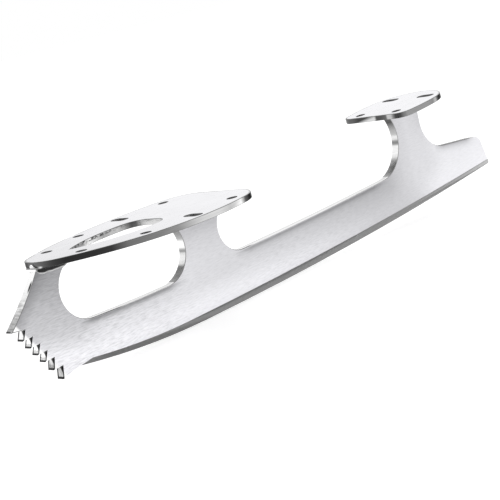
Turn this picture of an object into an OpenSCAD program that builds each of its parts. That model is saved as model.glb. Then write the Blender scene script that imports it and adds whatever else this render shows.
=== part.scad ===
// Figure skate blade: a one-piece runner with a toe pick, a curved sole plate and a
// pitched heel plate, brazed together at three stanchions.
// X runs from the toe to the tail, Y across the blade, Z up. The origin lies on top of
// the sole plate, midway between its two mounting slots.

/* [Overall] */
// Nominal size, from the nose of the sole plate to the back of the heel plate
blade_size = 241.3; // [229:0.1:267]
// Height of the sole seat above the lowest point of the running edge
sole_height = 45.9; // [43:0.1:52]
// Height of the heel seat above the sole seat, at the front pair of heel holes
heel_rise = 6.7; // [4:0.1:14]
// Slope of the heel seat, rising to the rear, in degrees
heel_pitch = 4; // [0:0.1:6]

/* [Runner] */
// Thickness of the runner and its stanchions
runner_t = 4; // [3:0.1:5]
// Radius of the main rocker, seen from the side
rocker_r = 2438; // [1800:1:2900]
// Lowest point of the edge, behind the slots, where the two rockers meet
rocker_x = 11; // [0:1:13]
// Radius of the spin rocker behind the toe pick
spin_r = 385; // [320:1:550]
// Radius of the hollow ground along the running edge
groove_r = 12.7; // [9:0.1:20]
// Height of the honed band above the lowest point of the running edge
relief_h = 2.6; // [1.5:0.1:4]
// Lowest point of the top of the honed band, behind the slots
relief_x = -13; // [-20:1:4]
// Radius of the top of the honed band
relief_r = 3200; // [2400:10:3600]
// Depth of the honed band in each side face
relief_d = 0.06; // [0.02:0.01:0.2]
// Radius of the top of the honed band over the spin rocker
relief_spin_r = 350; // [300:1:400]
// Where that curve of the honed band starts, behind the slots
relief_spin_x = 5; // [0:1:13]
// Angle at which the honed band rises behind the toe pick, in degrees
relief_angle = 8; // [5:1:30]
// How far the honed band starts behind the front corner of the edge, and the hollow ahead of it
relief_gap = 0.4; // [0.2:0.1:2]
// Depth of the top of the rail under the sole seat, at its lowest
rail_depth = 25.3; // [25.2:0.1:27.5]
// Where the rail is lowest, behind the slots
rail_x = 26; // [10:1:36]
// Radius of the top of the rail
rail_r = 2700; // [2000:10:4000]

/* [Tail] */
// Tail of the runner behind the heel plate
tail_len = 39.1; // [32:0.1:46]
// Depth of the top of the tail under the sole seat, behind the heel stanchion
tail_depth = 19; // [16:0.1:20]
// Slope of the top of the tail, falling to the rear, in degrees
tail_slope = 5.5; // [2:0.1:9]
// Lean of the end of the tail, in degrees from upright
tail_lean = 15.5; // [5:0.5:25]
// Radius of the upper corner of the tail
tail_r = 6; // [3:0.5:8]
// Radius of the lower corner of the tail
tail_tip_r = 0.8; // [0.4:0.1:1.5]

/* [Stanchions] */
// Front of the window, behind the nose of the sole plate
window_front = 7.3; // [7:0.1:11]
// Length of the window
window_len = 63.1; // [50:0.1:66]
// Depth of the bottom of the window under the sole seat, at its lowest
window_depth = 26.7; // [26:0.1:28]
// Where the window is lowest, behind the nose of the sole plate
window_low = 56; // [45:0.5:58]
// Radius of the bottom of the window
window_bottom_r = 700; // [500:10:2000]
// Radius of the front end of the window
window_front_r = 12.2; // [11.8:0.1:12.6]
// Radius of the rear end of the window
window_back_r = 12.8; // [12.4:0.1:13.2]
// Width of the middle stanchion at its narrowest
middle_w = 19.2; // [16:0.1:22]
// Radius behind the middle stanchion
middle_r = 11; // [10:0.1:11.6]
// Front of the heel stanchion, at its narrowest, behind the front of the heel plate
heel_front = 12.7; // [11:0.1:15]
// Width of the heel stanchion at its narrowest
heel_stanchion_w = 18.6; // [16:0.1:21]
// Radius in front of the heel stanchion
heel_front_r = 16.8; // [13:0.1:18]
// Radius behind the heel stanchion
heel_back_r = 15.2; // [12:0.1:16]
// Distance from the end of the sole plate to the top of the middle stanchion
top_inset = 3.4; // [2:0.1:6]

/* [Toe pick] */
// Reach of the top tooth ahead of the nose of the sole plate
pick_reach = 16.7; // [14:0.1:18]
// Depth of the top tooth under the sole seat
pick_depth = 19.2; // [17:0.1:20]
// Where the front edge meets the sole plate, behind the nose
front_edge = 0.5; // [0.4:0.1:2]
// Hollow of the front edge
front_hollow = 0.7; // [0.2:0.1:1.2]
// Number of middle teeth, between the top tooth and the drag pick
tooth_count = 5; // [5:1:5]
// Distance from tooth to tooth
tooth_pitch = 4.05; // [3.85:0.01:4.15]
// Angle of the row of teeth, in degrees below level
rake_angle = 57.3; // [56:0.1:59]
// Depth of the notch under the top tooth
top_notch = 5.4; // [4.5:0.1:6]
// Fall of its underside from the tip to the root
top_fall = 0.6; // [0:0.1:1.2]
// Depth of the notch under each middle tooth
tooth_notch = 3.9; // [3:0.1:4.4]
// Drop of each tooth's tip below its root
tooth_drop = 0.25; // [0:0.05:0.5]
// Length of the lowest middle tooth
last_pitch = 4.9; // [4.5:0.1:5.2]
// Length of the drag pick
drag_len = 4.8; // [4:0.1:5.2]
// Flat on the end of the drag pick
drag_flat = 0.6; // [0.3:0.1:1]
// Length of the hollow between the drag pick and the running edge
valley_len = 7.9; // [7:0.1:9]
// Radius of that hollow
valley_r = 30; // [15:0.5:60]
// Bevel along the side edges of each tooth's front face
tooth_bevel = 0.4; // [0.2:0.05:0.6]
// Bevel along the side edges of each tooth's underside
under_bevel = 0.25; // [0.1:0.05:0.6]

/* [Plates] */
// Thickness of both plates
plate_t = 2.4; // [2:0.1:3.2]
// Radius of the lengthwise curve of the sole plate
sole_curve_r = 1250; // [1000:10:3000]
// Length of the sole plate
sole_len = 97.1; // [96:0.1:102]
// Width of the sole plate
sole_w = 56.8; // [55.5:0.1:64]
// Where the sole plate is widest, behind its nose
sole_wide = 64.2; // [62:0.1:66]
// Radius of the nose of the sole plate
sole_nose_r = 11.8; // [10.5:0.1:13]
// Radius of the rear corners of the sole plate
sole_back_r = 14.5; // [10:0.5:18]
// Length of the heel plate
heel_len = 40.7; // [40:0.1:46]
// Width of the heel plate
heel_w = 39.9; // [38:0.1:44]
// Where the heel plate is widest, behind its front edge
heel_wide = 16.2; // [15:0.1:19]
// Radius of the sides of the heel plate
heel_side_r = 70.6; // [60:0.1:90]
// Radius of the front corners of the heel plate
heel_front_corner_r = 6; // [2:0.1:8]
// Radius of the rear corners of the heel plate
heel_back_corner_r = 18.9; // [12:0.1:19]

/* [Lightening hole] */
// Front of the lightening hole, behind the nose of the sole plate
light_front = 18.4; // [17.5:0.1:19.5]
// Length of the lightening hole
light_len = 41; // [38:0.1:42]
// Width of the lightening hole
light_w = 21.4; // [17:0.1:23]
// Where it is widest, behind its front
light_wide = 31.2; // [30:0.1:32]
// Radius of its front
light_nose_r = 1.2; // [1:0.1:1.5]
// Radius of its rear corners
light_back_r = 7.6; // [6:0.1:7.8]

/* [Mounting holes] */
// Diameter of the screw holes and width of the slots
hole_d = 4.2; // [4:0.1:5]
// Length of the slots, end to end
slot_len = 8.8; // [7:0.1:9.4]
// Sole slots, behind the nose of the sole plate
slots_back = 61; // [60:0.1:62]
// Distance from pair to pair along the sole plate
sole_pair_pitch = 22.9; // [21.5:0.1:23]
// Spacing across the toe pair
toe_pair_w = 20.9; // [18:0.1:21.5]
// Spacing across the pair ahead of the slots
fore_pair_w = 40.3; // [37:0.1:41]
// Spacing across the sole slots
sole_slot_w = 43.6; // [40:0.1:43.8]
// Spacing across the rear pair of the sole plate
rear_pair_w = 40.6; // [37:0.1:41]
// Front pair of heel holes, behind the front of the heel plate
heel_pair_back = 5; // [4.5:0.1:6]
// Distance from the front pair of heel holes to the heel slots
heel_pair_pitch = 23.7; // [20:0.1:25]
// Spacing across the front pair of heel holes
heel_pair_w = 21.3; // [19:0.1:23]
// Spacing across the heel slots
heel_slot_w = 20.8; // [19:0.1:22]

/* [Braze] */
// Thickness of the braze between a stanchion and its plate
braze_t = 0.1; // [0.05:0.05:0.3]
// Radius of the braze fillets
fillet_r = 2.8; // [1.5:0.1:3]
// Thickness of the braze fillets at their edges
fillet_rim = 0.1; // [0.05:0.05:0.2]

/* [Hidden] */

$fn = 96;
long_fn = 1440;     // on the long arcs of the rocker and the sole plate
seat_step = 4;      // length of the short flats that stand for the curve of the stanchion tops
edge_land = 0.02;   // flat left on each side of the hollow
over = 1;           // how far a cut runs past what it cuts
lap = 0.003;        // how far an arc laps over the line that it touches, so that they cross cleanly
band_lap = 0.02;    // the same for the flat arcs of the honed band
far = 100;          // further than the blade reaches, up, down or past an end

// Places along X
nose_x = -slots_back;
sole_end_x = nose_x + sole_len;
heel_end_x = nose_x + blade_size;
heel_x = heel_end_x - heel_len * cos(heel_pitch);
tail_x = heel_end_x + tail_len;
seat_steps = ceil((sole_len + 2 * seat_step) / seat_step);

// Running edge: centres of the main rocker and of the spin rocker ahead of it
edge_z = -sole_height;
rocker_c = [rocker_x, edge_z + rocker_r];
spin_c = [rocker_x, edge_z + spin_r];

// Window between the front and the middle stanchion, and the top of the rail behind them
window_c = [nose_x + window_low, window_bottom_r - window_depth];
window_front_c = inside(window_c, window_bottom_r,
    nose_x + window_front + window_front_r, window_front_r);
window_back_c = inside(window_c, window_bottom_r,
    nose_x + window_front + window_len - window_back_r, window_back_r);
rail_c = [rail_x, rail_r - rail_depth];
middle_x = nose_x + window_front + window_len + middle_w;
middle_c = inside(rail_c, rail_r, middle_x + middle_r, middle_r);
heel_front_x = heel_x + heel_front;
heel_front_c = inside(rail_c, rail_r, heel_front_x - heel_front_r, heel_front_r);
heel_back_x = heel_front_x + heel_stanchion_w;

// Tail: its lower corner on the rocker, the line of its end and the line of its top
tail_foot = low_on(rocker_c, rocker_r, tail_x);
tail_edge_slope = asin((tail_x - rocker_x) / rocker_r);
heel_back_c = [heel_back_x + heel_back_r, heel_back_r - tail_depth];
tail_corner = meet(tail_foot, 90 + tail_lean, [heel_back_c.x, -tail_depth], -tail_slope);

// Toe pick: roots and tips from the top tooth down to the drag pick
top_tip = [nose_x - pick_reach, -pick_depth];
step = [cos(rake_angle), -sin(rake_angle)];
top_root = top_tip + [top_notch, -top_fall];
roots = concat(
    [for (i = [0 : tooth_count - 1]) top_root + i * tooth_pitch * step],
    [top_root + ((tooth_count - 1) * tooth_pitch + last_pitch) * step]
);
tips = concat([top_tip], [for (i = [1 : tooth_count]) roots[i] - [tooth_notch, tooth_drop]]);
drag_tip = roots[tooth_count] + [-1, -drag_len];
drag_slope = 1 / 6;
drag_back = drag_tip + drag_flat * [1, drag_slope];
valley_x = drag_back.x + valley_len;
valley_mid = drag_back.x + valley_len / 2;
valley_top = low_on(spin_c, spin_r, valley_x);
front_top = [nose_x + front_edge, sole_under(nose_x + front_edge) - braze_t];
ahead = top_tip - 2 * [top_notch, -top_fall];

// Heel seat: the middle of its front pair of holes
heel_seat = [heel_x + heel_pair_back * cos(heel_pitch), heel_rise];

// Stanchion tops: where each starts and ends under its plate
front_top_back = window_front_c.x - window_front_r * 0.4;
middle_top_front = window_back_c.x + window_back_r / 2;
middle_top_back = sole_end_x - top_inset;

// Point at x, low down on a circle of radius r around c
function low_on(c, r, x) = [x, c.y - sqrt(r * r - pow(x - c.x, 2))];

// Centre at x of a circle of radius r that touches a large one around c from inside, low down
function inside(c, large, x, r) = [x, c.y - sqrt(pow(large - r + lap, 2) - pow(x - c.x, 2))];

// Radius of the long sides of a plan whose round front blends into them
function side_r(w, wide, r) =
    (w * w / 4 + pow(wide - r, 2) - r * r) / (w - 2 * r);

// Point where the line through p at angle a meets the line through q at angle b
function meet(p, a, q, b) =
    let (t = ((q.x - p.x) * sin(b) - (q.y - p.y) * cos(b)) / sin(b - a))
    p + t * [cos(a), sin(a)];

// Centre of the circle of radius r through p and q that lies to the right on the way to q
function arc_centre(p, q, r) =
    let (d = q - p, half = norm(d) / 2)
    (p + q) / 2 + sqrt(r * r - half * half) * [d.y, -d.x] / norm(d);

// Radius of an arc over a chord, from its sagitta
function sag_r(chord, sag) = chord * chord / (8 * sag) + sag / 2;

// Place along X of the ends of the flats under the sole plate
function seat_x(i) = nose_x - seat_step + i * seat_step;

// Underside of the sole plate at x, and its slope there in degrees
function sole_under(x) = sole_curve_r - sqrt(pow(sole_curve_r + plate_t, 2) - x * x);
function sole_tilt(x) = asin(x / (sole_curve_r + plate_t));

// Stands a drawing in X and Z upright and gives it a thickness across the blade
module upright(t) {
    rotate([90, 0, 0])
        linear_extrude(height = t, center = true)
            children();
}

// Plan with two long sides of radius r around the widest place, and rounded corners
module plan(x, len, wide, w, r, front_r, back_r) {
    reach = r - w / 2;
    front = front_r - wide;
    back = len - wide - back_r;
    front_y = max(0, sqrt(pow(r - front_r, 2) - front * front) - reach);
    back_y = max(0, sqrt(pow(r - back_r, 2) - back * back) - reach);
    front_t = front * r / (r - front_r);
    back_t = back * r / (r - back_r);
    translate([x + wide, 0]) {
        intersection() {
            translate([0, -reach]) circle(r = r, $fn = 360);
            translate([0, reach]) circle(r = r, $fn = 360);
            translate([front_t, -w]) square([back_t - front_t, 2 * w]);
        }
        for (side = [-1, 1]) {
            translate([front, side * front_y]) circle(r = front_r);
            translate([back, side * back_y]) circle(r = back_r);
        }
        if (front_y > 0.01)
            translate([-wide, -front_y]) square([front_t + wide + over, 2 * front_y]);
        if (back_y > 0.01)
            translate([back_t - over, -back_y])
                square([len - wide - back_t + over, 2 * back_y]);
    }
}

// What is cut away to round a corner at p, whose edges leave at angles a and b
module corner_cut(p, a, b, r) {
    half = abs(a - b) / 2;
    mid = (a + b) / 2;
    c = p + r / sin(half) * [cos(mid), sin(mid)];
    reach = r / tan(half);
    difference() {
        polygon([
            p - over * [cos(mid), sin(mid)],
            p + reach * [cos(a), sin(a)],
            c,
            p + reach * [cos(b), sin(b)]
        ]);
        translate(c) circle(r = r + lap);
    }
}

// Blank of the runner, from its front edge and teeth to its tail, open above and below
module blank() {
    polygon(concat(
        [[ahead.x, far / 2], ahead, roots[0]],
        [for (i = [1 : tooth_count], p = [tips[i], roots[i]]) p],
        [drag_tip, drag_tip + (valley_mid - drag_tip.x) * [1, drag_slope], [valley_mid, -far]],
        [3 * tail_foot - 2 * tail_corner, tail_corner, [tail_corner.x, far / 2]]
    ));
}

// Space below the running edge, in two parts that meet where the rockers join
module below_edge() {
    difference() {
        translate([rocker_x, -2 * far]) square([tail_x - rocker_x + far, 2 * far + edge_z / 2]);
        translate(rocker_c) circle(r = rocker_r, $fn = 4 * long_fn);
    }
    difference() {
        union() {
            translate([valley_x + over, -2 * far])
                square([rocker_x - valley_x - over, 2 * far + edge_z / 2]);
            valley();
        }
        translate(spin_c) circle(r = spin_r, $fn = long_fn);
    }
}

// Hollow between the drag pick and the running edge, open downwards
module valley() {
    c = arc_centre(drag_back, valley_top, valley_r);
    translate(c) circle(r = valley_r);
    translate([valley_mid - over, -2 * far])
        square([valley_x - valley_mid + 3 * over, 2 * far + c.y]);
}

// Hollow of the front edge, between the sole plate and the top tooth
module front_curve() {
    r = sag_r(norm(top_tip - front_top), front_hollow);
    translate(arc_centre(front_top, top_tip, r)) circle(r = r, $fn = 360);
}

// Space above an arc around c, between end circles around c0 and c1 that touch it
module trough(c, r, c0, r0, c1, r1) {
    x0 = c.x + (c0.x - c.x) * r / (r - r0);
    x1 = c.x + (c1.x - c.x) * r / (r - r1);
    translate(c0) circle(r = r0);
    translate(c1) circle(r = r1);
    intersection() {
        translate(c) circle(r = r, $fn = long_fn);
        translate([x0, c.y - r - over]) square([x1 - x0, far]);
    }
}

// Window between the front and the middle stanchion, open to the sole plate
module window() {
    trough(window_c, window_bottom_r,
        window_front_c, window_front_r, window_back_c, window_back_r);
    translate([front_top_back, window_front_c.y])
        square([window_front_c.x - front_top_back + over, far]);
    translate([window_back_c.x - over, window_back_c.y])
        square([middle_top_front - window_back_c.x + over, far]);
}

// Opening between the middle and the heel stanchion, open upwards
module waist() {
    trough(rail_c, rail_r, middle_c, middle_r, heel_front_c, heel_front_r);
    translate([middle_top_back, middle_c.y])
        square([middle_c.x - middle_top_back + over, far]);
}

// Opening over the tail
module over_tail() {
    foot = heel_back_c - (heel_back_r - lap) * [sin(tail_slope), cos(tail_slope)];
    translate(heel_back_c) circle(r = heel_back_r);
    polygon([
        foot,
        foot + far * [cos(tail_slope), -sin(tail_slope)],
        [tail_x + far, far],
        [heel_back_x + lap, far],
        [heel_back_x + lap, heel_back_c.y]
    ]);
}

// Side view of the runner, with its stanchions running up through the plates
module side_view() {
    difference() {
        blank();
        below_edge();
        front_curve();
        window();
        waist();
        over_tail();
        corner_cut(tail_corner, 180 - tail_slope, 270 + tail_lean, tail_r);
        corner_cut(tail_foot, 90 + tail_lean, 180 + tail_edge_slope, tail_tip_r);
    }
}

// Space over a surface that lies d under the sole plate, or under the heel plate
module over_sole(d) {
    r = sole_curve_r + plate_t + d;
    polygon(concat(
        [[nose_x - seat_step, far]],
        [for (i = [0 : seat_steps]) [seat_x(i), sole_curve_r - sqrt(r * r - pow(seat_x(i), 2))]],
        [[seat_x(seat_steps), far]]
    ));
}

module over_heel(d) {
    translate(heel_seat)
        rotate(heel_pitch)
            translate([-heel_len, -plate_t - d])
                square([3 * heel_len, far]);
}

// Side view of the runner below the braze
module runner_view() {
    difference() {
        side_view();
        over_sole(braze_t);
        over_heel(braze_t);
    }
}

// Ring that grinds the hollow into the edge over the stretch from x0 to x1, on radius r
module hollow_stretch(r, x0, x1) {
    drop = sqrt(groove_r * groove_r - pow(runner_t / 2 - relief_d - edge_land, 2));
    a0 = asin((x0 - over - rocker_x) / r) - 90;
    a1 = asin((x1 + over - rocker_x) / r) - 90;
    intersection() {
        translate([rocker_x, 0, edge_z])
            translate([0, 0, r])
                rotate([90, 0, 0])
                    rotate([0, 0, a0])
                        rotate_extrude(angle = a1 - a0, $fn = 4 * long_fn)
                            translate([r, 0])
                                translate([drop, 0])
                                    circle(r = groove_r, $fn = 360);
        translate([x0, -runner_t, edge_z - over]) cube([x1 - x0, 2 * runner_t, far]);
    }
}

module hollow_grind() {
    hollow_stretch(rocker_r, rocker_x, tail_x + over);
    hollow_stretch(spin_r, valley_x - relief_gap, rocker_x);
}

// Side view of the honed band, whose top falls off over the spin rocker
module band_view() {
    top_c = [relief_x, edge_z + relief_h + relief_r];
    top_join = low_on(top_c, relief_r, relief_spin_x);
    spin_top_c = top_c + (top_join - top_c) * (1 - (relief_spin_r - band_lap) / relief_r);
    band_dir = [cos(relief_angle), sin(relief_angle)];
    band_front = valley_top + [relief_gap, 0] - over * band_dir;
    band_end = band_front + far * band_dir;
    band_back_x = relief_spin_x - 20 * over;
    difference() {
        translate([band_back_x, -far])
            square([tail_x - band_back_x + over, far + edge_z / 2]);
        translate(top_c) circle(r = relief_r, $fn = 4 * long_fn);
    }
    difference() {
        intersection() {
            translate([valley_mid, -far]) square([relief_spin_x - valley_mid, far + edge_z / 2]);
            polygon([band_front, band_end, [band_end.x, -far], [band_front.x, -far]]);
        }
        translate(spin_top_c) circle(r = relief_spin_r, $fn = long_fn);
    }
}

module honed_bands() {
    for (side = [-1, 1])
        translate([0, side * (runner_t / 2 - relief_d + over / 2), 0])
            upright(over) band_view();
}

// Space outside a bevel of width w along the edge from p to q, which has air on its left
module beside_bevel(p, q, w, side) {
    reach = 2 * tooth_pitch;
    translate([p.x, side * (runner_t / 2 - w), p.y])
        rotate([0, -atan2(q.y - p.y, q.x - p.x), 0])
            rotate([-45 * side, 0, 0])
                translate([-reach, -reach, 0])
                    cube([norm(q - p) + 2 * reach, 2 * reach, reach]);
}

// Bevels around each notch of the toe pick, on one side of the runner
module notch_bevels(side) {
    for (i = [0 : tooth_count])
        intersection() {
            beside_bevel(roots[i], tips[i], under_bevel, side);
            beside_bevel(i < tooth_count ? tips[i + 1] : drag_tip, roots[i], tooth_bevel, side);
        }
}

module runner() {
    color("gainsboro")
        difference() {
            difference() {
                upright(runner_t) runner_view();
                honed_bands();
                notch_bevels(-1);
                notch_bevels(1);
            }
            hollow_grind();
        }
}

// Pair of round holes at x, or of slots across the blade where length is over the diameter
module hole_pair(x, w, length) {
    for (side = [-1, 1])
        translate([x, side * w / 2, -far / 2])
            linear_extrude(height = far) {
                for (end = [-1, 1])
                    translate([0, end * (length - hole_d) / 2]) circle(d = hole_d);
                if (length > hole_d)
                    translate([-hole_d / 2, (hole_d - length) / 2])
                        square([hole_d, length - hole_d]);
            }
}

module sole_plate() {
    color("whitesmoke")
        difference() {
            translate([0, 0, -far / 2])
                linear_extrude(height = far)
                    difference() {
                        plan(nose_x, sole_len, sole_wide, sole_w,
                            side_r(sole_w, sole_wide, sole_nose_r), sole_nose_r, sole_back_r);
                        plan(nose_x + light_front, light_len, light_wide, light_w,
                            side_r(light_w, light_wide, light_nose_r),
                            light_nose_r, light_back_r);
                    }
            translate([0, 0, sole_curve_r])
                rotate([90, 0, 0])
                    cylinder(r = sole_curve_r, h = 2 * sole_w, center = true, $fn = long_fn);
            upright(2 * sole_w)
                difference() {
                    translate([nose_x - over, -far]) square([sole_len + 2 * over, 2 * far]);
                    translate([0, sole_curve_r])
                        circle(r = sole_curve_r + plate_t, $fn = long_fn);
                }
            hole_pair(-2 * sole_pair_pitch, toe_pair_w, hole_d);
            hole_pair(-sole_pair_pitch, fore_pair_w, hole_d);
            hole_pair(0, sole_slot_w, slot_len);
            hole_pair(sole_pair_pitch, rear_pair_w, hole_d);
        }
}

// Puts a piece on the heel seat, whose own origin lies between its front holes
module on_heel() {
    translate([heel_seat.x, 0, heel_seat.y])
        rotate([0, -heel_pitch, 0])
            children();
}

module heel_plate() {
    color("whitesmoke")
        on_heel()
            difference() {
                translate([-heel_pair_back, 0, -plate_t])
                    linear_extrude(height = plate_t)
                        plan(0, heel_len, heel_wide, heel_w,
                            heel_side_r, heel_front_corner_r, heel_back_corner_r);
                hole_pair(0, heel_pair_w, hole_d);
                hole_pair(heel_pair_pitch, heel_slot_w, slot_len);
            }
}

// Section of a braze bead: flared under the plate, nearly as narrow as the runner below
module bead_section() {
    reach = fillet_r + fillet_rim;
    half = runner_t / 2 + reach;
    difference() {
        translate([-half, -reach]) square([2 * half, reach + over]);
        for (side = [-1, 1])
            translate([side * half, -reach]) circle(r = fillet_r);
    }
}

// Bead under a plate whose underside is at Z = 0, from x0 to x1 and with a round end at each
module bead(x0, x1) {
    translate([x0, 0, 0])
        rotate([90, 0, 90])
            linear_extrude(height = x1 - x0)
                bead_section();
    for (end = [-1, 1])
        translate([end < 0 ? x0 : x1, 0, 0])
            rotate([0, 0, -90 * end])
                rotate_extrude(angle = 180)
                    intersection() {
                        bead_section();
                        translate([0, -far]) square([far, 2 * far]);
                    }
}

// Braze under the sole plate on the stanchion whose top runs from x0 to x1
module sole_braze(x0, x1) {
    mid = (x0 + x1) / 2;
    half = (x1 - x0 - runner_t) / 2;
    difference() {
        translate([mid, 0, sole_under(mid)])
            rotate([0, -sole_tilt(mid), 0])
                bead(-half, half);
        upright(sole_w) over_sole(0);
        upright(runner_t) runner_view();
    }
}

module front_braze() {
    color("silver") sole_braze(nose_x + fillet_r + 2 * fillet_rim, front_top_back);
}

module middle_braze() {
    color("silver") sole_braze(middle_top_front, middle_top_back);
}

module heel_braze() {
    half = (heel_stanchion_w + fillet_r - runner_t) / 2;
    mid = (heel_front_x + heel_back_x) / 2 - heel_seat.x;
    color("silver")
        difference() {
            on_heel()
                translate([mid, 0, -plate_t])
                    bead(-half, half);
            upright(heel_w) over_heel(0);
            upright(runner_t) runner_view();
        }
}

runner();
sole_plate();
heel_plate();
front_braze();
middle_braze();
heel_braze();
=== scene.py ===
# %% [markdown]
# A figure skate blade.
# The blade is six pieces of steel: a runner cut from 4 mm plate, with its stanchions and toe pick,
# a pointed sole plate, a heel plate, and a brazed joint where each stanchion meets its plate.
# The imported model gives every one of them its shape and its place. This lesson takes those shapes
# over, breaks their sharp edges, gives each surface a finish with painted shade, highlights and
# reflections in its tones, and makes the brazed joints anew, because melted metal has soft shapes
# that a CAD fillet hasn't.

import math

import bmesh
import bpy
import numpy as np
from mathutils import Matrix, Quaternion, Vector


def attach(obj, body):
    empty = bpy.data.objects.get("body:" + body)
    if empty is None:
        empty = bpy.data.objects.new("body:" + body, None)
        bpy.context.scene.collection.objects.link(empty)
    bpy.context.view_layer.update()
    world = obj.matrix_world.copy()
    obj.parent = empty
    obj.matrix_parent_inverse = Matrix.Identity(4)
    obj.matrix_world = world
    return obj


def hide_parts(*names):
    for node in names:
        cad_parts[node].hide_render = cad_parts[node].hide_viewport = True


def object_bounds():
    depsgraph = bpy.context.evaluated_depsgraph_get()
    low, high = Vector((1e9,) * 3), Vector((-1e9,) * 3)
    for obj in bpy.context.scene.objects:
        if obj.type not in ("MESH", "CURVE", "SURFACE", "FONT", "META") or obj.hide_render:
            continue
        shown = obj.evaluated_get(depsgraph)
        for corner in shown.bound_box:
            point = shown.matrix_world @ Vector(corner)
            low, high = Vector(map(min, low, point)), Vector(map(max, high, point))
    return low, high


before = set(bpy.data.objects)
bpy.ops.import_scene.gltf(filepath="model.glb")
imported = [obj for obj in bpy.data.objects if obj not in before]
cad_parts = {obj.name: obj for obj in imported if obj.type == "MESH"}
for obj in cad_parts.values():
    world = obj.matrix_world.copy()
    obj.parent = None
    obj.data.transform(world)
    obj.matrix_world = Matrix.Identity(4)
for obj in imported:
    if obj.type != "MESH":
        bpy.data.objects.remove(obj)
cad_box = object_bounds()
mm = 0.001
print("Nodes:", sorted(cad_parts))

# %% [markdown]
# The camera comes first, because everything else is judged through it.
# It stands ahead of the toe pick, to the left of the blade and a little above it, and it is turned
# about its own line of sight, so that the blade climbs across the picture.
# A bearing, a dip and a roll describe that better than nine numbers of a matrix would.

# %% Camera
camera_place = Vector((-319.6, -383.2, 79.4)) * mm
view_bearing = math.radians(46.423)
view_dip = math.radians(11.438)
view_roll = math.radians(-13.686)

sight = Vector((
    math.cos(view_dip) * math.cos(view_bearing),
    math.cos(view_dip) * math.sin(view_bearing),
    -math.sin(view_dip),
))
camera = bpy.data.objects.new("camera", bpy.data.cameras.new("camera"))
camera.data.sensor_width = 36
camera.data.lens = 93.84
camera.data.clip_start = 10 * mm
camera.location = camera_place
camera.rotation_mode = "QUATERNION"
camera.rotation_quaternion = sight.to_track_quat("-Z", "Y") @ Quaternion((0, 0, 1), view_roll)
bpy.context.scene.collection.objects.link(camera)
bpy.context.scene.camera = camera
bpy.context.scene.view_settings.view_transform = "Standard"
print("Camera looks along", [round(v, 3) for v in sight])

# %% [markdown]
# Shader trees are built by code here, so a few small helpers keep them readable.
# `grey` turns a tone as it is seen on screen, from 0 to 255, into the linear value a shader wants.
# `add` makes one node, sets its options, and feeds each named input with a number or a link, and
# `reckon` does one step of arithmetic.

# %% Helpers for shader trees
def grey(tone):
    """A screen tone of 0 to 255 as a linear grey: the tone as a share of white, to the power 2.2."""
    return (tone / 255) ** 2.2


def add(tree, kind, inputs=None, **options):
    """Adds a node of this kind. Inputs are fed from sockets, or are set to plain values."""
    node = tree.nodes.new(kind)
    for option, value in options.items():
        setattr(node, option, value)
    for name, value in (inputs or {}).items():
        if isinstance(value, bpy.types.NodeSocket):
            tree.links.new(value, node.inputs[name])
        else:
            node.inputs[name].default_value = value
    return node


def reckon(tree, operation, a, b=0.0):
    """One step of arithmetic on sockets or numbers."""
    return add(tree, "ShaderNodeMath", {0: a, 1: b}, operation=operation).outputs[0]


# %% [markdown]
# A metal shows its surroundings, so the studio is part of the finish.
# The photograph was taken in a white tent: the page behind the blade is plain white, and the steel
# reflects that white too. Light Path tells a shader what kind of ray is asking, so the world can
# be exactly white to the camera and to reflections while it lights the floor a little less.

# %% World
world = bpy.data.worlds.new("white_tent")
bpy.context.scene.world = world
world.use_nodes = True
world.node_tree.nodes.clear()


def seen_directly(tree):
    """1 for a ray from the camera, or one that a metal or glass surface sends on, and otherwise 0."""
    path = add(tree, "ShaderNodeLightPath")
    glossy, through = path.outputs["Is Glossy Ray"], path.outputs["Is Transmission Ray"]
    sent_on = reckon(tree, "MAXIMUM", glossy, through)
    return reckon(tree, "MAXIMUM", path.outputs["Is Camera Ray"], sent_on)


tent_light = 0.75
tree = world.node_tree
strength = add(tree, "ShaderNodeMapRange", {"Value": seen_directly(tree), "To Min": tent_light,
                                            "To Max": 1.0})
tent = add(tree, "ShaderNodeBackground", {"Color": (1, 1, 1, 1), "Strength": strength.outputs[0]})
add(tree, "ShaderNodeOutputWorld", {"Surface": tent.outputs[0]})

# %% [markdown]
# One wide soft lamp above and behind the blade lifts its upper edges and puts a faint shadow under
# it. The floor is a plain pale sheet at the height of the running edge. Its colour alone nearly
# reaches white, and a little glow for direct rays takes it the rest of the way.

# %% Lamp and floor
lamp = bpy.data.objects.new("soft_lamp", bpy.data.lights.new("soft_lamp", "AREA"))
lamp.data.shape = "RECTANGLE"
lamp.data.size = 1.2
lamp.data.size_y = 0.9
lamp.data.energy = 5
lamp.location = (0.3, 0.5, 1.2)
lamp.rotation_mode = "QUATERNION"
lamp.rotation_quaternion = (Vector((0.07, 0, 0)) - lamp.location).to_track_quat("-Z", "Y")
bpy.context.scene.collection.objects.link(lamp)

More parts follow.
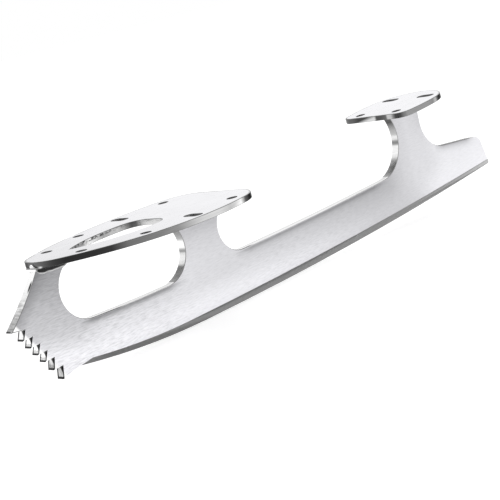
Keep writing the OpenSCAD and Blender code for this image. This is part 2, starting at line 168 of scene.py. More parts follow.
half_floor = 6.0
floor_z = cad_box[0].z
corners = np.array([(-1, -1), (1, -1), (1, 1), (-1, 1)]) * half_floor
floor_mesh = bpy.data.meshes.new("floor")
floor_mesh.from_pydata(np.column_stack((corners, np.full(4, floor_z))).tolist(), [], [(0, 1, 2, 3)])
floor = bpy.data.objects.new("floor", floor_mesh)
bpy.context.scene.collection.objects.link(floor)
paper = bpy.data.materials.new("floor_paper")
paper.use_nodes = True
tree = paper.node_tree
tree.nodes.clear()
floor_glow = 0.47
matt = add(tree, "ShaderNodeBsdfDiffuse", {"Color": (0.85, 0.85, 0.85, 1)})
glow_strength = reckon(tree, "MULTIPLY", seen_directly(tree), floor_glow)
glow = add(tree, "ShaderNodeEmission", {"Color": (1, 1, 1, 1), "Strength": glow_strength})
both = add(tree, "ShaderNodeAddShader", {0: matt.outputs[0], 1: glow.outputs[0]})
add(tree, "ShaderNodeOutputMaterial", {"Surface": both.outputs[0]})
floor_mesh.materials.append(paper)
print("The floor lies at", round(floor_z / mm, 1), "mm, under the running edge")

# %% [markdown]
# Every finish on the blade is bare or plated steel, so they share one base: a metallic surface
# whose tone comes from a pattern. `steel` makes it, and the cells below only describe tones.
# All patterns read Object coordinates, which here are the blade's own metres: X runs from the toe
# to the tail and Z up, so a place in a pattern is a place on the blade.
# Polished steel isn't quite neutral. Where it is light it is a little cool, where dark it is not.

# %% Base finish and pattern helpers
cool = (0.985, 0.983, 1.015)


def steel(name, roughness, draw_tone, bump=None, glance=1.0):
    """A metallic finish. draw_tone gets the tree and returns a socket of linear tone. glance is how
    bright it turns where it is seen edge on, from 0 to 1."""
    material = bpy.data.materials.new(name)
    material.use_nodes = True
    tree = material.node_tree
    tree.nodes.clear()
    shader = add(tree, "ShaderNodeBsdfPrincipled", {"Metallic": 1.0, "Roughness": roughness,
                                                    "Base Color": draw_tone(tree),
                                                    "Specular Tint": (glance, glance, glance, 1)})
    if bump:
        tree.links.new(bump(tree), shader.inputs["Normal"])
    add(tree, "ShaderNodeOutputMaterial", {"Surface": shader.outputs[0]})
    print("Finish", name, "has", len(tree.nodes), "shader nodes")
    return material


def place(tree, axis):
    """Position along X, Y or Z, in millimetres."""
    coordinates = add(tree, "ShaderNodeTexCoord")
    split = add(tree, "ShaderNodeSeparateXYZ", {0: coordinates.outputs["Object"]})
    return reckon(tree, "MULTIPLY", split.outputs[axis], 1 / mm)


def ramp(tree, value, stops, colour):
    """Runs through (place, level) stops, given in order. colour makes a colour of a level."""
    first, last = stops[0][0], stops[-1][0]
    share = add(tree, "ShaderNodeMapRange", {"Value": value, "From Min": first, "From Max": last})
    made = add(tree, "ShaderNodeValToRGB", {"Fac": share.outputs[0]})
    marks = made.color_ramp.elements
    for i, (where, level) in enumerate(stops):
        at = (where - first) / (last - first)
        mark = marks[i] if i < 2 else marks.new(at)
        mark.position = at
        mark.color = (*colour(level), 1)
    return made.outputs["Color"]


def tones(tree, value, stops, tint=(1, 1, 1)):
    """Screen tones of 0 to 255 that change as value passes the places of the stops."""
    return ramp(tree, value, stops, lambda tone: [grey(tone) * part for part in tint])


def shares(tree, value, stops):
    """Plain shares of 0 to 1 that change as value passes the places of the stops."""
    return ramp(tree, value, stops, lambda share: [share] * 3)


def mix(tree, share, a, b, blend="MIX"):
    """Goes from colour a to colour b as share goes from 0 to 1."""
    return add(tree, "ShaderNodeMix", {"Factor": share, "A": a, "B": b}, data_type="RGBA",
               blend_type=blend).outputs["Result"]


def times(tree, a, *others):
    """One tone times all the others."""
    for other in others:
        a = mix(tree, 1.0, a, other, "MULTIPLY")
    return a


def grain(tree, size, seed=0.0, detail=3.0):
    """Noise whose spots are size millimetres long along X, Y and Z, so that it can be drawn out."""
    coordinates = add(tree, "ShaderNodeTexCoord")
    stretched = add(tree, "ShaderNodeMapping", {"Vector": coordinates.outputs["Object"],
                                                "Location": (seed, seed, seed),
                                                "Scale": [1 / (side * mm) for side in size]})
    return add(tree, "ShaderNodeTexNoise", {"Vector": stretched.outputs[0], "Scale": 1.0,
                                            "Detail": detail, "Roughness": 0.6}).outputs["Fac"]


def even_tone(tone):
    """One screen tone of 0 to 255, the same everywhere."""
    return (grey(tone), grey(tone), grey(tone), 1)


white = even_tone(255)

# %% [markdown]
# The side faces of the runner are ground lengthwise and left satin.
# Their tone has painted shade: lightest along the running edge and darker upwards, most of all on the
# front stanchion.
# So the pattern needs the height over the edge, and the edge is two rockers: arcs of 385 mm ahead
# of the lowest point and 2438 mm behind it. Low down, an arc of radius r rises by d * d / (2 r).
# Other features lie along straight slanting lines, and a sum of X and Z, each times its own factor,
# measures the distance from such a line.

# %% Measures on the runner's sides
rocker_low = 11.0
rocker_spin = 385.0
rocker_main = 2438.0
edge_depth = 45.9


def bowl(tree, x, low, radius):
    """Rise of an arc of this radius, x millimetres along, over its lowest point at low."""
    away = reckon(tree, "SUBTRACT", x, low)
    return reckon(tree, "DIVIDE", reckon(tree, "MULTIPLY", away, away), 2 * radius)


def height_over_edge(tree):
    """Height over the running edge: Z less the rise of whichever rocker lies at this X."""
    x, z = place(tree, "X"), place(tree, "Z")
    ahead = bowl(tree, reckon(tree, "MINIMUM", x, rocker_low), rocker_low, rocker_spin)
    behind = bowl(tree, reckon(tree, "MAXIMUM", x, rocker_low), rocker_low, rocker_main)
    rise = reckon(tree, "ADD", ahead, behind)
    return reckon(tree, "SUBTRACT", reckon(tree, "ADD", z, edge_depth), rise)


def depth_under(tree, low, top, radius):
    """Depth under an arc of this radius whose lowest point is at low, top."""
    arc = reckon(tree, "ADD", bowl(tree, place(tree, "X"), low, radius), top)
    return reckon(tree, "SUBTRACT", arc, place(tree, "Z"))


def slant(tree, x0, z0, per_x, per_z):
    """A measure that is 0 at x0, z0 and grows by per_x and per_z for each millimetre of X and Z."""
    x_part = reckon(tree, "MULTIPLY", reckon(tree, "SUBTRACT", place(tree, "X"), x0), per_x)
    z_part = reckon(tree, "MULTIPLY", reckon(tree, "SUBTRACT", place(tree, "Z"), z0), per_z)
    return reckon(tree, "ADD", x_part, z_part)


def under_roots(tree):
    """Depth below the line of the tooth roots, measured along a tooth's front face."""
    return slant(tree, -72.3, -19.8, -0.995, -0.638)


# %% [markdown]
# Two kinds of painted shade darken the sides: one by height, and one in a dark band just under the
# window, the rail and the top of the tail. Each is a table of tones by height or by depth under an
# edge, and a table of shares by X says where along the blade it counts.

# %% Painted shade up the sides and under their upper edges
def painted_shade_upwards(tree):
    """Painted shade: a fall of tone with height, fullest on the front stanchion and least behind the
    heel.
    """
    x, height = place(tree, "X"), height_over_edge(tree)
    # Painted shade: the sides get darker with height over the running edge.
    shade_by_height = tones(tree, height, [
        (3.5, 256), (6, 255), (8, 249), (10, 242), (12, 237), (14, 229), (17, 227), (24, 226),
        (29, 221), (32.5, 216), (36, 203), (40, 195)])
    shade_by_height_front = tones(tree, height, [
        (3.5, 256), (6, 252), (8, 238), (10.4, 227), (13.4, 213), (17.4, 205), (19.4, 203),
        (25.4, 190), (31.4, 174), (38, 168)])
    how_much = shares(tree, x, [
        (125, 1), (140, 0.95), (146, 0.4), (152, 0), (160, 0), (170, 0.5), (176, 0.5), (184, 0.2)])
    front = shares(tree, x, [(-50, 1), (-38, 0)])
    return mix(tree, front, mix(tree, how_much, white, shade_by_height), shade_by_height_front)


def painted_shade_bands(tree):
    """Painted shade in dark bands just under the window, under the rail's top and under the tail's top.
    """
    x = place(tree, "X")
    # Painted shade: dark bands by depth under the window, the rail's top and the tail's top.
    window_shade_band = tones(tree, depth_under(tree, -5, -26.7, 700), [
        (0, 225), (0.25, 195), (0.45, 176), (0.65, 174), (0.85, 180), (1.05, 188), (1.3, 199),
        (1.6, 214), (2, 228), (2.5, 244), (3.2, 252), (5, 255)])
    rail_shade_band = tones(tree, depth_under(tree, 26, -25.3, 2700), [
        (0, 252), (0.3, 242), (0.6, 212), (0.8, 196), (1, 192), (1.3, 199), (1.6, 210), (2, 223),
        (2.5, 234), (3.2, 244), (5, 255)])
    tail_shade_band = tones(tree, slant(tree, 184.74, -18.93, -0.0963, -1), [
        (0, 180), (0.4, 193), (0.8, 210), (1.2, 222), (1.6, 229), (2, 235), (2.6, 243), (3.4, 249),
        (4.5, 255)])
    behind_window = reckon(tree, "GREATER_THAN", x, 20)
    has_shade_band = shares(tree, x, [
        (-49, 0), (-43, 1), (-4, 1), (3, 0.25), (6, 0), (34, 0), (44, 1), (128, 1), (140, 0)])
    has_tail_shade = shares(tree, x, [(178, 0), (185, 1), (204, 1), (208, 0.4), (212, 0)])
    shade_under_edge = mix(tree, has_shade_band, white, mix(tree, behind_window, window_shade_band, rail_shade_band))
    return times(tree, shade_under_edge, mix(tree, has_tail_shade, white, tail_shade_band))


# %% [markdown]
# The finish itself is a painted shade along the blade, times the painted shade above, times a painted
# shade near the front edge, times the marks of the grinding belt. The marks are noise that is drawn
# out along X, and they are roughest in front. The sides of the teeth get a plain painted highlight.

# %% Satin finish of the runner's sides
def satin_tone(tree):
    """Painted shade along the blade and near the front edge, times the painted shade by height and
    under edges, times the marks; a painted highlight on the teeth.
    """
    x = place(tree, "X")
    # Painted shade along X: darker where the blade turns from the light.
    along = tones(tree, x, [
        (-64, 250), (-36, 250), (-20, 252), (0, 250), (16, 244), (28, 239), (44, 236), (56, 232),
        (68, 229), (80, 225), (104, 217), (128, 208), (146, 205), (152, 207), (158, 212),
        (164, 220), (170, 228), (178, 233), (188, 233), (196, 232), (212, 234)], cool)
    # Painted shade close to the front edge of the front stanchion.
    from_front_edge = slant(tree, -60.5, -1, 0.727, -0.687)
    painted_shade_near_front = tones(tree, from_front_edge, [(0.7, 214), (2.5, 232), (6, 255)])
    marks = tones(tree, grain(tree, (3.5, 0.5, 0.5)), [(0.3, 222), (0.5, 248), (0.7, 264)])
    how_rough = shares(tree, x, [
        (-64, 0.8), (-50, 1), (-10, 0.85), (10, 0.45), (30, 0.4), (60, 0.55), (140, 0.35), (200, 0.25)])
    brushed = mix(tree, how_rough, even_tone(249), marks)
    face = times(tree, along, painted_shade_upwards(tree), painted_shade_bands(tree), painted_shade_near_front, brushed)
    # A painted highlight over the sides of the teeth.
    teeth_highlight_share = shares(tree, under_roots(tree), [(0.9, 0), (1.9, 1)])
    return mix(tree, teeth_highlight_share, face, even_tone(253))


def satin_bump(tree):
    """Fine lengthwise scratches, to which the reflections answer."""
    return add(tree, "ShaderNodeBump", {"Height": grain(tree, (14, 0.15, 0.15), 3.0),
                                        "Strength": 0.2, "Distance": 0.02 * mm}).outputs[0]


satin = steel("satin_side", 0.42, satin_tone, satin_bump)

# %% [markdown]
# The honed band is what the sharpening wheel leaves along the edge: darker and crosswise.
# The faces cut through the plate's thickness are bright, with a greyer line along their middle,
# where the saw's mark wasn't polished out. The tail's top reflects something dark.

# %% Honed band and cut faces
def honed_tone(tree):
    """Grey along the edge, a little lighter towards both ends, with faint marks across."""
    along = tones(tree, place(tree, "X"), [
        (-58, 165), (-40, 141), (0, 148), (60, 138), (150, 141), (190, 154), (216, 176)])
    return times(tree, along, tones(tree, grain(tree, (0.8, 2, 2), 2.0), [(0.3, 248), (0.7, 255)]))


def cut_tone(tree):
    """Bright, with the greyer line where the distance from the middle plane is small."""
    from_middle = reckon(tree, "ABSOLUTE", place(tree, "Y"))
    across = tones(tree, from_middle, [(0.2, 218), (0.9, 236), (1.5, 250)])
    return times(tree, across, tones(tree, grain(tree, (6, 0.3, 6)), [(0.3, 249), (0.7, 255)]))


def tail_top_tone(tree):
    """Dark between the ends of the tail's straight top."""
    return tones(tree, place(tree, "X"), [
        (177, 245), (180, 90), (186, 66), (203, 75), (207, 110), (211, 248)])


honed = steel("honed_band", 0.3, honed_tone)
tail_top = steel("tail_top", 0.25, tail_top_tone)
cut_face = steel("cut_face", 0.25, cut_tone)

# %% [markdown]
# The front strip runs from the sole plate down to the top tooth. It was filed across, it greys
# towards the tooth, and it has one dark oval spot near the plate.
# The two strips behind the window and ahead of the heel are polished, and their broad light and dark
# bands are painted reflections. Each is a strip that climbs, so height alone says where a band lies.

# %% Strips
def spot(tree, y, z, half_y, half_z):
    """Distance from a spot at y, z, as a share of its half sizes: 1 on its oval outline."""
    across = reckon(tree, "DIVIDE", reckon(tree, "SUBTRACT", place(tree, "Y"), y), half_y)
    along = reckon(tree, "DIVIDE", reckon(tree, "SUBTRACT", place(tree, "Z"), z), half_z)
    return reckon(tree, "SQRT", reckon(tree, "ADD", reckon(tree, "MULTIPLY", across, across),
                                       reckon(tree, "MULTIPLY", along, along)))


def front_tone(tree):
    """Grey towards the tooth, filed low down, with a painted shadow line at the tip and a dark spot."""
    z = place(tree, "Z")
    down = tones(tree, z, [
        (-18.6, 176), (-17.5, 194), (-15, 212), (-12.5, 230), (-10, 244), (-4, 253)])
    tip = shares(tree, z, [(-18.85, 1), (-18.5, 0)])
    far_half = shares(tree, place(tree, "Y"), [(-1.4, 0), (-0.6, 1)])
    shadow = tones(tree, reckon(tree, "MULTIPLY", tip, far_half), [(0, 255), (1, 60)])
    filed = tones(tree, grain(tree, (1, 6, 1), 4.0), [(0.38, 205), (0.6, 262)])
    ridges = tones(tree, grain(tree, (9, 0.5, 9), 8.0), [(0.35, 240), (0.65, 255)])
    low = shares(tree, z, [(-12, 1), (-7, 0)])
    dark_oval_spot = tones(tree, spot(tree, -1.2, -6.4, 0.7, 2.1), [(0.5, 52), (1.0, 255)])
    return times(tree, down, shadow, mix(tree, low, white, times(tree, filed, ridges)), dark_oval_spot)


def climbing_reflection_bands(stops):
    """A pattern of painted reflection bands that lie at the heights of the stops, with faint marks
    across.
    """
    def pattern(tree):
        marks = tones(tree, grain(tree, (0.8, 6, 0.8)), [(0.35, 246), (0.65, 255)])
        return times(tree, tones(tree, place(tree, "Z"), stops), marks)
    return pattern


front_strip = steel("front_strip", 0.25, front_tone)
# The window and heel strips carry painted reflection bands by height.
window_strip = steel("window_strip", 0.2, climbing_reflection_bands([
    (-26, 142), (-23, 146), (-22.1, 150), (-21.2, 246), (-18.6, 248), (-17.4, 225), (-16.6, 152),
    (-15.9, 180), (-15.2, 236), (-12.8, 240), (-11.6, 168), (-9, 138), (-6, 128), (-3, 130)]))
heel_strip = steel("heel_strip", 0.2, climbing_reflection_bands([
    (-22.9, 240), (-22.4, 160), (-21, 105), (-19.4, 88), (-18, 120), (-16.6, 170), (-15.5, 230),
    (-14, 248), (-10.8, 248), (-9.9, 160), (-9.1, 135), (-8.4, 165), (-7.6, 222), (-6.4, 222),
    (-5.4, 178), (-3, 160), (-1, 126), (0.8, 80), (3, 95), (5, 118)]))

# %% [markdown]
# The teeth were cut one below the other along a slanting row, and each has a bright front face with
# painted dark reflections along its sides and tip. Painted shade darkens its upper right corner, under
# the tooth above.
# All the roots lie on one slanting line, so one linear formula gives the depth under that line, and
# with it the place on whichever tooth it is. The two lowest are duller, from use.

# %% Teeth
def tooth_tone(tree):
    """Bright, with painted dark reflections on the sides and tip and painted shade in the upper corner;
    the lowest teeth duller and scored.
    """
    depth = under_roots(tree)
    # Painted dark reflections along both sides and along the tip of each tooth.
    sides = tones(tree, place(tree, "Y"), [(-1.8, 95), (-1.5, 255), (0.75, 255), (1.1, 58)])
    tip = tones(tree, depth, [(3.15, 255), (3.45, 50)])
    # Painted shade in the upper right corner, under the tooth above.
    corner = reckon(tree, "ADD", reckon(tree, "DIVIDE", depth, 2.5),
                    reckon(tree, "DIVIDE", reckon(tree, "ADD", place(tree, "Y"), 2.0), 2.2))
    notch_shade = tones(tree, corner, [(0.8, 72), (1.05, 255)])
    dull = tones(tree, place(tree, "X"), [(-65.5, 255), (-65.2, 214), (-62, 214), (-61, 190)])
    scores = tones(tree, grain(tree, (0.6, 0.6, 4), 6.0), [(0.35, 205), (0.6, 255)])
    scored = shares(tree, place(tree, "X"), [(-65.5, 0), (-65.2, 1)])
    return times(tree, dull, sides, tip, notch_shade, mix(tree, scored, white, scores))


tooth_face = steel("tooth_face", 0.25, tooth_tone)


# %% [markdown]
# A broken edge is a thin bevel, and its tone is a painted reflection of what the studio has beside
# it. Along the rail and under the window that is white, and round the stanchions and along the tail
# it is dark, most of all where the window and the waist turn into the edges below them.

# %% Broken edges
def arris_tone(tree):
    """Painted reflections on the bevels, by X alone, because only one edge shows at most places along.
    """
    return tones(tree, place(tree, "X"), [
        (-75, 125), (-47, 125), (-38, 105), (-33, 60), (-30, 70), (-26, 236), (-3, 236), (-1, 135),
        (7, 140), (25, 150), (33, 120), (35, 55), (43, 55), (46, 238), (130, 240), (140, 150),
        (150, 140), (158, 165), (166, 145), (176, 150), (180, 90), (184, 58), (203, 58), (207, 90),
        (211, 235)])


arris = steel("broken_edge", 0.3, arris_tone)

# %% [markdown]
# The plates are polished and plated. Their tops show the white tent, with a painted reflection that
# greys them a little to the front, and hairline marks of the polishing belt. Their walls are curved,
# and the dark and light bands that they gather from all round the studio are painted reflections,
# which lie at their own places along each wall. The wall of the lightening hole is rougher, because
# a cutter left it so. Seen edge on, the outer walls mustn't turn white, so they get a low `glance`.

# %% Plate finishes
def top_tone(tree):
    """A painted reflection a little greyer to the front, times hairlines along X, times wide faint
    clouds.
    """
    along = tones(tree, place(tree, "X"), [
        (-60, 222), (-45, 224), (-34, 228), (-22, 233), (-10, 238), (20, 243), (140, 247),
        (180, 248)], cool)
    hairs = tones(tree, grain(tree, (16, 0.35, 0.35), 1.0), [(0.3, 246), (0.7, 255)])
    clouds = tones(tree, grain(tree, (14, 7, 7), 2.0, 2.0), [(0.35, 250), (0.65, 255)])
    return times(tree, along, hairs, clouds)


def wall_marks(tree):
    """Faint marks along a wall."""
    return tones(tree, grain(tree, (5, 5, 0.35), 7.0), [(0.35, 240), (0.65, 255)])


def sole_wall_tone(tree):
    """Painted reflection bands by X along the outer wall, and one painted highlight streak on the nose.
    """
    along = tones(tree, place(tree, "X"), [
        (-61, 112), (-60.6, 100), (-59.6, 84), (-58.2, 66), (-57, 58), (-54, 46), (-45, 50),
        (-39, 56), (-36, 84), (-33, 106), (-26, 113), (-18, 124), (-13, 138), (-9, 162), (-4, 187),
        (4, 203), (8, 203), (14, 184), (17, 200), (21, 240), (22.5, 180), (24, 92), (27, 60),
        (31, 46), (34, 70), (36, 90)])
    on_nose = shares(tree, place(tree, "X"), [(-59.4, 1), (-59.2, 0)])
    # Painted highlight: a light streak low on the nose.
    nose_highlight = shares(tree, spot(tree, -3.8, -0.55, 1.4, 0.35), [(0.4, 0.9), (1.0, 0)])
    return mix(tree, reckon(tree, "MULTIPLY", on_nose, nose_highlight),
               times(tree, along, wall_marks(tree)), even_tone(235))


def heel_side_tone(tree):
    """Painted reflection bands by X along the sides and the rear."""
    along = tones(tree, place(tree, "X"), [
        (139.6, 75), (141, 122), (143, 140), (156, 145), (161, 138), (162.5, 176), (163.6, 176),
        (165, 104), (167, 62), (169, 48), (171, 100), (173, 160), (175, 130), (180, 90)])
    return times(tree, along, wall_marks(tree))


def heel_front_tone(tree):
    """Painted reflection bands by Y across the front, and a painted highlight patch that leans."""
    y = place(tree, "Y")
    across = tones(tree, y, [
        (-19, 130), (-17.5, 120), (-16, 72), (-13.5, 66), (-12.2, 120), (-11, 175), (-9, 185),
        (-8, 98), (-5, 80), (0, 76), (8, 64), (12, 92), (15, 96), (17, 60), (20, 56)])
    leaning = reckon(tree, "ADD", y, reckon(tree, "MULTIPLY", place(tree, "Z"), 4.0))
    # Painted highlight: a light patch that leans across the front wall.
    leaning_highlight = shares(tree, leaning, [(14, 0), (16, 0.85), (21, 0.8), (27, 0)])
    far_side = shares(tree, y, [(-2.4, 0), (-1.2, 1)])
    return mix(tree, reckon(tree, "MULTIPLY", leaning_highlight, far_side),
               times(tree, across, wall_marks(tree)), even_tone(214))


def light_hole_tone(tree):
    """Painted reflection bands along the wall, and the cutter's speckle over its upper half and all
    over its tip.
    """
    x = place(tree, "X")
    along = tones(tree, x, [
        (-43, 120), (-36, 135), (-33, 195), (-30, 245), (-27, 245), (-24, 205), (-19, 160),
        (-15, 175), (-11, 186), (-8, 155), (-5, 80), (-3.4, 90), (-2.2, 165), (-1, 225)])
    speckle = tones(tree, grain(tree, (1.6, 1.6, 0.6), 3.0), [(0.44, 50), (0.54, 255)])
    how_much = shares(tree, x, [(-43, 1), (-35, 0.9), (-20, 0.9), (-10, 0.4), (-3, 0.2)])
    upper = shares(tree, depth_under(tree, 0, 0, 1250), [(1.0, 1), (1.3, 0.15)])
    tip = shares(tree, x, [(-37, 1), (-34, 0)])
    mottled = reckon(tree, "MULTIPLY", how_much, reckon(tree, "MAXIMUM", upper, tip))
    return times(tree, along, mix(tree, mottled, white, speckle))


def rim_highlight_and_shade(tree):
    """Painted highlight on the near side of the blade, painted shade on the far side."""
    return tones(tree, place(tree, "Y"), [(-0.5, 176), (0.5, 105)])


def plain(tone):
    """A pattern of one tone, broken by fine lengthwise marks."""
    return lambda tree: tones(tree, grain(tree, (5, 0.3, 0.3)), [(0.3, tone - 7), (0.7, tone + 6)])


plate_top = steel("plate_top", 0.22, top_tone)
plate_rim = steel("plate_rim", 0.22, rim_highlight_and_shade)
# The underside, the broken edges and the screw hole walls are the same plated steel as the top; their
# plain darker tones are painted shade.
plate_under = steel("plate_under", 0.3, plain(200))
plate_edge = steel("plate_broken_edge", 0.25, plain(95))
hole_wall = steel("hole_wall", 0.3, plain(150))
sole_wall = steel("sole_plate_wall", 0.16, sole_wall_tone, glance=0.4)
heel_side_wall = steel("heel_plate_side", 0.16, heel_side_tone, glance=0.4)
heel_front_wall = steel("heel_plate_front", 0.16, heel_front_tone)
light_hole_wall = steel("lightening_hole_wall", 0.2, light_hole_tone)

# %% [markdown]
# The imported meshes are loose triangles with sharp edges. A real edge is broken by a file or the
# tumbler, and that thin bevel is what catches light, so each node is copied, its doubles are
# merged, its sharp edges are bevelled, and the copy stands for the node.
# The running edge and the teeth stay sharp, as they must, so the runner says which edges to spare.
# A thin rim is marked off round a plate's top; its painted highlight and shade stand for a rounding.

# %% Pieces with broken edges
def outward(mesh):
    """The faces' normals and middles, as two arrays with one row a face, middles in millimetres."""
    normals = np.zeros(len(mesh.polygons) * 3, np.float32)
    middles = np.zeros(len(mesh.polygons) * 3, np.float32)
    mesh.polygons.foreach_get("normal", normals)
    mesh.polygons.foreach_get("center", middles)
    return normals.reshape(-1, 3), middles.reshape(-1, 3) / mm


def shown(name, mesh, node):
    """Puts a mesh in the scene as a piece that stands for a node."""
    piece = bpy.data.objects.new(name, mesh)
    bpy.context.scene.collection.objects.link(piece)
    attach(piece, "root")
    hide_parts(node)
    return piece


def picked(finishes, rules, otherwise):
    """For each face the number of the finish whose rule is the first to hold for it."""
    return np.select([rule for rule, finish in rules],
                     [finishes.index(finish) for rule, finish in rules], finishes.index(otherwise))


def dressed(node, name, break_width, finishes, choose, spare=None, rim=0):
    """A copy of a node with its sharp edges bevelled and, where rim is over 0, a rim of that width
    marked off round its top. choose(normals, middles, broken, ring) gives each face the number of
    one of the finishes; broken and ring are true on the bevels and on the rim.
    spare(x, y, z) is true where an edge stays sharp."""
    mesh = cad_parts[node].data.copy()
    mesh.name = name
    form = bmesh.new()
    form.from_mesh(mesh)
    bmesh.ops.remove_doubles(form, verts=form.verts, dist=1e-6)
    bmesh.ops.dissolve_limit(form, angle_limit=math.radians(0.1), verts=form.verts, edges=form.edges)
    mesh.materials.clear()
    for finish in finishes:
        mesh.materials.append(finish)
    ring_mark, bevel_mark = 1, 2
    for face in form.faces:
        face.material_index = 0
    if rim:
        top = [face for face in form.faces if face.normal.z > 0.9]
        ring = bmesh.ops.inset_region(form, faces=top, thickness=rim * mm, use_boundary=True,
                                      use_even_offset=True)
        for face in ring["faces"]:
            face.material_index = ring_mark
    sharp = [edge for edge in form.edges
             if edge.is_manifold and edge.calc_face_angle(0) > math.radians(30)
             and not (spare and spare(*((edge.verts[0].co + edge.verts[1].co) / 2 / mm)))]
    made = bmesh.ops.bevel(form, geom=sharp, offset=break_width * mm, offset_type="OFFSET",
                           segments=1, profile=0.5, affect="EDGES", clamp_overlap=False,
                           material=bevel_mark)
    form.to_mesh(mesh)
    form.free()
    normals, middles = outward(mesh)
    mark = np.zeros(len(mesh.polygons), np.int32)
    mesh.polygons.foreach_get("material_index", mark)
    index = choose(normals, middles, mark == bevel_mark, mark == ring_mark)
    mesh.polygons.foreach_set("material_index", index.astype(np.int32))
    mesh.shade_smooth()
    mesh.set_sharp_from_angle(angle=math.radians(25))
    print(name, "has", len(mesh.polygons), "faces,", len(made["faces"]), "of them bevels")
    return shown(name, mesh, node)


# %% [markdown]
# On the runner the side faces look along Y, and the honed band lies a little nearer the middle
# plane than they do. Every other face was cut through the plate's thickness. Those that look
# towards the toe are the teeth, the front strip and the two polished strips, and X and Z say which.

# %% Runner
band_top = 4.2
side_of_band = 1.97
top_tooth_z = -19.4
back_of_teeth = -56
back_of_front = -55
window_strip_from, window_strip_to = -8, 12
heel_strip_from, heel_strip_to = 130, 160
tail_from = 176


def edge_rise(x):
    """Height of the running edge at x, from the same two rockers."""
    radius = rocker_spin if x < rocker_low else rocker_main
    return (x - rocker_low) ** 2 / (2 * radius) - edge_depth


def working_edge(x, y, z):
    """True on the running edge, on the shoulder over its honed band, and on the toe pick."""
    return z < edge_rise(x) + band_top or (x < back_of_teeth and z < top_tooth_z)


runner_finishes = [satin, honed, cut_face, front_strip, tooth_face, window_strip, heel_strip,
                   tail_top, arris]


def runner_finish(normals, middles, broken, ring):
    """Sides, honed bands and cut faces, and among the cut faces the strips and the teeth."""
    x, z = middles[:, 0], middles[:, 2]
    side = np.abs(normals[:, 1]) > 0.9
    faces_toe = ~side & (normals[:, 0] < -0.2)
    in_front = faces_toe & (x < back_of_front)
    return picked(runner_finishes, [
        (broken, arris),
        (side & (np.abs(middles[:, 1]) < side_of_band), honed),
        (side, satin),
        (in_front & (z < top_tooth_z) & (normals[:, 0] < -0.45), tooth_face),
        (in_front, front_strip),
        (faces_toe & (x > window_strip_from) & (x < window_strip_to), window_strip),
        (faces_toe & (x > heel_strip_from) & (x < heel_strip_to), heel_strip),
        ((normals[:, 2] > 0.5) & (x > tail_from), tail_top),
    ], cut_face)


runner = dressed("runner", "runner_ground", 0.2, runner_finishes, runner_finish, working_edge)

# %% [markdown]
# On the plates a wall can belong to the outline, to a screw hole or to the lightening hole. The
# holes come in pairs at known places, so the distance to the nearest one tells them apart.

# %% Plates
sole_holes = np.array([(-45.8, 10.45), (-22.9, 20.15), (0, 21.8), (22.9, 20.3)])
heel_holes = np.array([(144.7, 10.65), (168.3, 10.4)])
hole_reach = 4.9
light_hole_from, light_hole_to, light_hole_half_width = -43, -1, 11.5


def to_holes(middles, holes):
    """Vectors from each face to each hole. The holes of a pair lie at the same x on either side,
    so one side is folded over onto the other."""
    folded = np.stack((middles[:, 0], np.abs(middles[:, 1])), 1)
    return holes[None] - folded[:, None, :]


def in_hole(normals, middles, holes):
    """True for a wall that lies within reach of a hole's middle and faces it."""
    inwards = to_holes(middles, holes)
    fold = np.where(middles[:, 1] < 0, -1, 1)
    outlook = np.stack((normals[:, 0], normals[:, 1] * fold), 1)[:, None, :]
    near = np.linalg.norm(inwards, axis=2) < hole_reach
    return (near & ((inwards * outlook).sum(axis=2) > 0)).any(axis=1)


def round_hole(middles, holes):
    """True for a piece of rim that lies round one of the holes."""
    return np.linalg.norm(to_holes(middles, holes), axis=2).min(axis=1) < hole_reach


sole_finishes = [plate_top, sole_wall, plate_under, hole_wall, light_hole_wall, plate_rim,
                 plate_edge]
heel_finishes = [plate_top, heel_side_wall, plate_under, hole_wall, heel_front_wall, plate_rim,
                 plate_edge]


def sole_finish(normals, middles, broken, ring):
    """Top, outer wall, underside, screw holes, lightening hole, rim and broken edges."""
    wall = np.abs(normals[:, 2]) <= 0.7
    light = ((middles[:, 0] > light_hole_from) & (middles[:, 0] < light_hole_to)
             & (np.abs(middles[:, 1]) < light_hole_half_width))
    return picked(sole_finishes, [
        (broken, plate_edge),
        (ring & (light | round_hole(middles, sole_holes)), plate_top),
        (ring, plate_rim),
        (wall & light, light_hole_wall),
        (wall & in_hole(normals, middles, sole_holes), hole_wall),
        (wall, sole_wall),
        (normals[:, 2] < 0, plate_under),
    ], plate_top)


def heel_finish(normals, middles, broken, ring):
    """Top, side wall, underside, screw holes, front wall, rim and broken edges."""
    wall = np.abs(normals[:, 2]) <= 0.7
    return picked(heel_finishes, [
        (broken, plate_edge),
        (ring & round_hole(middles, heel_holes), plate_top),
        (ring, plate_rim),
        (wall & in_hole(normals, middles, heel_holes), hole_wall),
        (wall & (normals[:, 0] < -0.6), heel_front_wall),
        (wall, heel_side_wall),
        (normals[:, 2] < 0, plate_under),
    ], plate_top)


sole = dressed("sole_plate", "sole_plate_polished", 0.15, sole_finishes, sole_finish, rim=0.8)
heel = dressed("heel_plate", "heel_plate_polished", 0.15, heel_finishes, heel_finish, rim=0.8)

# %% [markdown]
# Brazing draws a bead of melted metal into the corner between stanchion and plate. It runs round
# the top of the stanchion in a closed loop, hollow along the sides and rounded at the ends.
# It is made as a profile carried along that loop. The profile goes from the plate, `reach` out, to
# the stanchion, `depth` down: with s from 0 to 1, it is out = reach (1 - s)^p and down = depth s^p.
# A power p over 1 makes it hollow and one under 1 makes it bulge. Reach, depth and p change slowly
# on the way round, which is what makes the bead look poured. Towards its ends it runs thin, and on
# the nose of the sole plate it has crept a little way up the wall as a small lip with a painted
# highlight.

